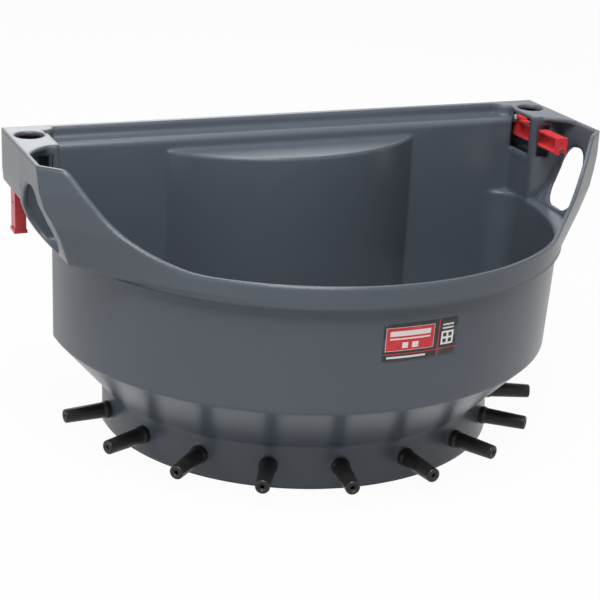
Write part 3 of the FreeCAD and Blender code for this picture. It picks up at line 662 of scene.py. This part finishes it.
def label_rows(label, mesh):
    """The plate's vertices in rows from low to high, each with its place on the plate."""
    tree = tub_tree()
    height = label.high - label.low
    middle = wall_point(tree, label.turn, (label.high + label.low) / 2)[0]
    radius = (middle.xy - Vector((0.0, LABEL_AXIS))).length
    rows = []
    for row in range(LABEL_ROWS + 1):
        up = height * row / LABEL_ROWS
        inset = corner_inset(up, height, LABEL_CORNER)
        points = []
        for column in range(LABEL_COLUMNS + 1):
            along = inset + (label.arc - 2 * inset) * column / LABEL_COLUMNS
            turn = label.turn + (along - label.arc / 2) / radius
            place, normal = wall_point(tree, turn, label.low + up)
            vertex = mesh.verts.new(place + normal * label.proud)
            points.append((vertex, (along / label.arc, up / height)))
        rows.append(points)
    return rows


def make_label(label):
    """A thin plate that follows the wall, with rounded corners and real thickness."""
    mesh = bmesh.new()
    coords = mesh.loops.layers.uv.new("plate")
    rows = label_rows(label, mesh)
    for low, high in zip(rows, rows[1:]):
        for index in range(LABEL_COLUMNS):
            corners = (low[index], low[index + 1], high[index + 1], high[index])
            face = mesh.faces.new([vertex for vertex, _ in corners])
            face.smooth = True
            for loop, (_, uv) in zip(face.loops, corners):
                loop[coords].uv = uv
    piece = add_mesh("front_label", mesh, label_finish(label.arc, label.high - label.low))
    thicken(piece, label.proud * LABEL_SOLID, -1.0)
    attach(piece, "feeder")


# Camera, floor and light

PHOTO_PIXELS = 600
SENSOR = 36.0
WHITE = (1.0, 1.0, 1.0, 1.0)
FLOOR_HALF = 6.0
FLOOR_SQUARES = 8
FLOOR_ROUGHNESS = 0.6
FLOOR_CLOUD_SIZE = 0.5
FLOOR_CLOUD = 1.02
# Share of white in the floor as it is seen; the rest shows the shadow
FLOOR_WHITE = 0.96

# Each lamp's name, its power's setting, its place, its target and its size
LAMPS = (
    ("key_lamp", "key", (-0.4, -0.85, 2.5), (0.0, 0.0, 0.2), 1.4),
    ("side_lamp", "fill", (-2.6, 0.3, 1.1), (0.0, 0.0, 0.25), 1.6),
    ("rear_lamp", "rear", (0.3, 2.6, 1.5), (0.0, 0.0, 0.3), 2.0),
)


def make_floor(stage):
    finish = Finish("studio_floor", roughness=FLOOR_ROUGHNESS)
    paler = tuple(min(part * FLOOR_CLOUD, 1.0) for part in stage.floor_colour)
    finish.feed("Base Color", finish.blend(
        finish.noise(FLOOR_CLOUD_SIZE), stage.floor_colour, paler))
    show_white(finish)
    mesh = bmesh.new()
    bmesh.ops.create_grid(
        mesh, x_segments=FLOOR_SQUARES, y_segments=FLOOR_SQUARES, size=FLOOR_HALF)
    floor = add_mesh("floor", mesh, finish.material)


def seen_ray(bench):
    """1 on rays that the camera sees, straight, by a reflection or through clear material."""
    seen = bench.node("ShaderNodeLightPath", output="Is Camera Ray")
    for ray in ("Is Glossy Ray", "Is Transmission Ray"):
        seen = seen.math("MAXIMUM", bench.node("ShaderNodeLightPath", output=ray))
    return seen


def show_white(finish):
    """The floor is white as it is seen, and keeps a faint shadow."""
    glow = finish.node("ShaderNodeEmission", inputs={"Color": WHITE, "Strength": 1.0})
    plain = Wire(finish, finish.shader.outputs[0])
    mixed = finish.node("ShaderNodeMixShader", inputs={
        0: seen_ray(finish) * FLOOR_WHITE, 1: plain, 2: glow})
    surface = finish.tree.nodes["Material Output"].inputs["Surface"]
    finish.tree.links.new(mixed.socket, surface)


def make_sky(scene, strength):
    """An even sky that the camera sees as white, also in glossy and clear surfaces."""
    world = bpy.data.worlds.new("studio_sky")
    world.use_nodes = True
    sky = Bench(world.node_tree)
    light = sky.tree.nodes["Background"]
    light.inputs["Color"].default_value = WHITE
    level = seen_ray(sky).ramp(0.0, 1.0, strength, 1.0)
    sky.tree.links.new(level.socket, light.inputs["Strength"])
    scene.world = world


def make_lamp(name, power, place, target, size):
    lamp = bpy.data.lights.new(name, "AREA")
    lamp.shape = "DISK"
    lamp.size = size
    lamp.energy = power
    aim = (Vector(target) - Vector(place)).to_track_quat("-Z", "Y")
    add_object(name, lamp).matrix_world = Matrix.Translation(place) @ aim.to_matrix().to_4x4()


def make_camera(scene, stage):
    """The camera at the photograph's view, turned by yaw, pitch and roll."""
    ahead = math.cos(stage.pitch)
    forward = Vector((
        math.sin(stage.yaw) * ahead, math.cos(stage.yaw) * ahead, -math.sin(stage.pitch)))
    level = Vector((math.cos(stage.yaw), -math.sin(stage.yaw), 0.0))
    upright = level.cross(forward)
    right = level * math.cos(stage.roll) + upright * math.sin(stage.roll)
    up = upright * math.cos(stage.roll) - level * math.sin(stage.roll)
    data = bpy.data.cameras.new("photo_camera")
    data.sensor_width = SENSOR
    data.lens = stage.focal / PHOTO_PIXELS * SENSOR
    turn = Matrix((right, up, -forward)).transposed().to_4x4()
    scene.camera = add_object("photo_camera", data)
    scene.camera.matrix_world = Matrix.Translation(stage.eye) @ turn


# Operators

class TubFinish(bpy.types.Operator):
    """Give the tub its moulded grey plastic and close the right corner box's floor"""

    bl_idname = "feeder.tub_finish"
    bl_label = "Tub plastic"

    def execute(self, context):
        plastic = context.scene.feeder.plastic
        material = tub_finish(plastic)
        finish_nodes(["tub"], material)
        make_box_web(plastic, material)
        return {"FINISHED"}


class TeatFinish(bpy.types.Operator):
    """Give the ten teats their black rubber"""

    bl_idname = "feeder.teat_finish"
    bl_label = "Teat rubber"

    def execute(self, context):
        teats = [name for name in NODES if name.startswith("teat_")]
        finish_nodes(teats, rubber_finish(context.scene.feeder.rubber))
        return {"FINISHED"}


class MouthRings(bpy.types.Operator):
    """Set a moulded ring into the mouth of each teat"""

    bl_idname = "feeder.mouth_rings"
    bl_label = "Mouth rings"

    def execute(self, context):
        make_mouth_rings(context.scene.feeder.rubber)
        return {"FINISHED"}


class LeverFinish(bpy.types.Operator):
    """Give the latch levers and their sleeves red plastic and the fasteners zinc"""

    bl_idname = "feeder.lever_finish"
    bl_label = "Levers and bolts"

    def execute(self, context):
        lever = context.scene.feeder.lever
        red = lever_finish("lever_plastic", lever.colour, lever.worn_colour)
        finish_nodes(nodes_with("_latch_lever"), red)
        dark = lever_finish("sleeve_plastic", lever.sleeve_colour, lever.colour)
        finish_nodes(nodes_with("_pivot_sleeve"), dark)
        steel = zinc_finish(lever.zinc_colour)
        for ending in ("_pivot_bolt", "_pivot_nut", "_pivot_washer", "_lever_screw"):
            finish_nodes(nodes_with(ending), steel)
        return {"FINISHED"}


class FrontLabel(bpy.types.Operator):
    """Fix the plain printed plate to the front wall"""

    bl_idname = "feeder.front_label"
    bl_label = "Front label"

    def execute(self, context):
        make_label(context.scene.feeder.label)
        return {"FINISHED"}


class StudioStage(bpy.types.Operator):
    """Set up the floor, the lamps, the sky and the camera"""

    bl_idname = "feeder.studio_stage"
    bl_label = "Studio"

    def execute(self, context):
        stage = context.scene.feeder.stage
        make_floor(stage)
        make_sky(context.scene, stage.sky)
        for name, setting, place, target, size in LAMPS:
            make_lamp(name, getattr(stage, setting), place, target, size)
        make_camera(context.scene, stage)
        context.scene.view_settings.view_transform = "Standard"
        return {"FINISHED"}


# Title of each part of the panel, its group of settings and its operators
PANEL_PARTS = (
    ("Tub", "plastic", ("feeder.tub_finish",)),
    ("Teats", "rubber", ("feeder.teat_finish", "feeder.mouth_rings")),
    ("Levers", "lever", ("feeder.lever_finish",)),
    ("Label", "label", ("feeder.front_label",)),
    ("Studio", "stage", ("feeder.studio_stage",)),
)


class FeederPanel(bpy.types.Panel):
    """Settings and steps of the feeder"""

    bl_idname = "VIEW3D_PT_feeder"
    bl_label = "Calf teat feeder"
    bl_space_type = "VIEW_3D"
    bl_region_type = "UI"
    bl_category = "Feeder"

    def draw(self, context):
        settings = context.scene.feeder
        for title, group, operators in PANEL_PARTS:
            box = self.layout.box()
            box.label(text=title)
            values = getattr(settings, group)
            for name in values.bl_rna.properties.keys():
                if name not in ("rna_type", "name"):
                    box.prop(values, name)
            for operator in operators:
                box.operator(operator)


CLASSES = (
    PlasticSettings, RubberSettings, LeverSettings, LabelSettings, StageSettings, FeederSettings,
    TubFinish, TeatFinish, MouthRings, LeverFinish, FrontLabel, StudioStage, FeederPanel,
)


def register():
    for item in CLASSES:
        bpy.utils.register_class(item)
    bpy.types.Scene.feeder = bpy.props.PointerProperty(type=FeederSettings)


def unregister():
    del bpy.types.Scene.feeder
    for item in reversed(CLASSES):
        bpy.utils.unregister_class(item)


def main():
    register()
    bpy.ops.feeder.tub_finish()
    bpy.ops.feeder.teat_finish()
    bpy.ops.feeder.mouth_rings()
    bpy.ops.feeder.lever_finish()
    bpy.ops.feeder.front_label()
    bpy.ops.feeder.studio_stage()


if __name__ == "__main__":
    main()
